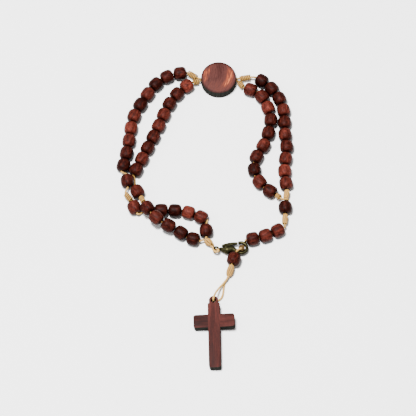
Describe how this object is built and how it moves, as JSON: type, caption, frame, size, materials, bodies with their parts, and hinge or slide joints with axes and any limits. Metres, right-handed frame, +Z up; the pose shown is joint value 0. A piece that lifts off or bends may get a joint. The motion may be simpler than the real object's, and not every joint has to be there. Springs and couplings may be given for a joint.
{
  "type": "rosary bracelet",
  "caption": "Rosary bracelet of drilled wooden barrel beads on twisted cord, with a wooden disc, a lobster clasp and a wooden cross pendant, lying closed.",
  "frame": {"origin": "middle of the bounding box's underside, on the surface the bracelet lies on", "axes": "+Y from the cross towards the wooden disc, +X to the right as seen from above with the disc away from the viewer, +Z up off the surface"},
  "size_m": [0.0642, 0.1213, 0.0072],
  "materials": {
    "bead_wood": "satin dark red wood",
    "disc_wood": "satin reddish wood with dark streaks and a charred edge",
    "cross_wood": "satin red-brown wood with a charred edge",
    "antique_brass": "antique brass, dark in the hollows",
    "cord": "twisted cream cord"
  },
  "bodies": {
    "bracelet": {"centre_disc": "disc_wood", "wooden_cross": "cross_wood", "clasp_body": "antique_brass", "clasp_pin": "antique_brass", "left_outer_beads": "bead_wood", "left_inner_beads": "bead_wood", "left_spacer_beads": "bead_wood", "lower_upper_beads": "bead_wood", "lower_lower_beads": "bead_wood", "right_outer_beads": "bead_wood", "right_inner_beads": "bead_wood", "right_spacer_bead": "bead_wood", "right_end_beads": "bead_wood", "pendant_bead": "bead_wood", "outer_cord": "cord", "inner_cord": "cord", "pendant_cord": "cord", "wrap_disc_left_outer": "cord", "wrap_disc_left_inner": "cord", "wrap_disc_right_outer": "cord", "wrap_disc_right_inner": "cord", "wrap_left_outer": "cord", "wrap_left_inner": "cord", "wrap_clasp": "cord", "wrap_right_outer": "cord", "wrap_right_inner": "cord", "wrap_right_end": "cord", "wrap_pendant": "cord", "knot_in_clasp": "cord"},
    "lever": {"clasp_lever": "antique_brass"}
  },
  "joints": [
    {"name": "lever_hinge", "type": "hinge", "parent": "bracelet", "child": "lever", "pos_m": [0.00751, -0.01379, 0.002], "axis": [0, 0, 1], "range_deg": [-13, 0], "stiffness_Nm_per_rad": 0.005}
  ]
}
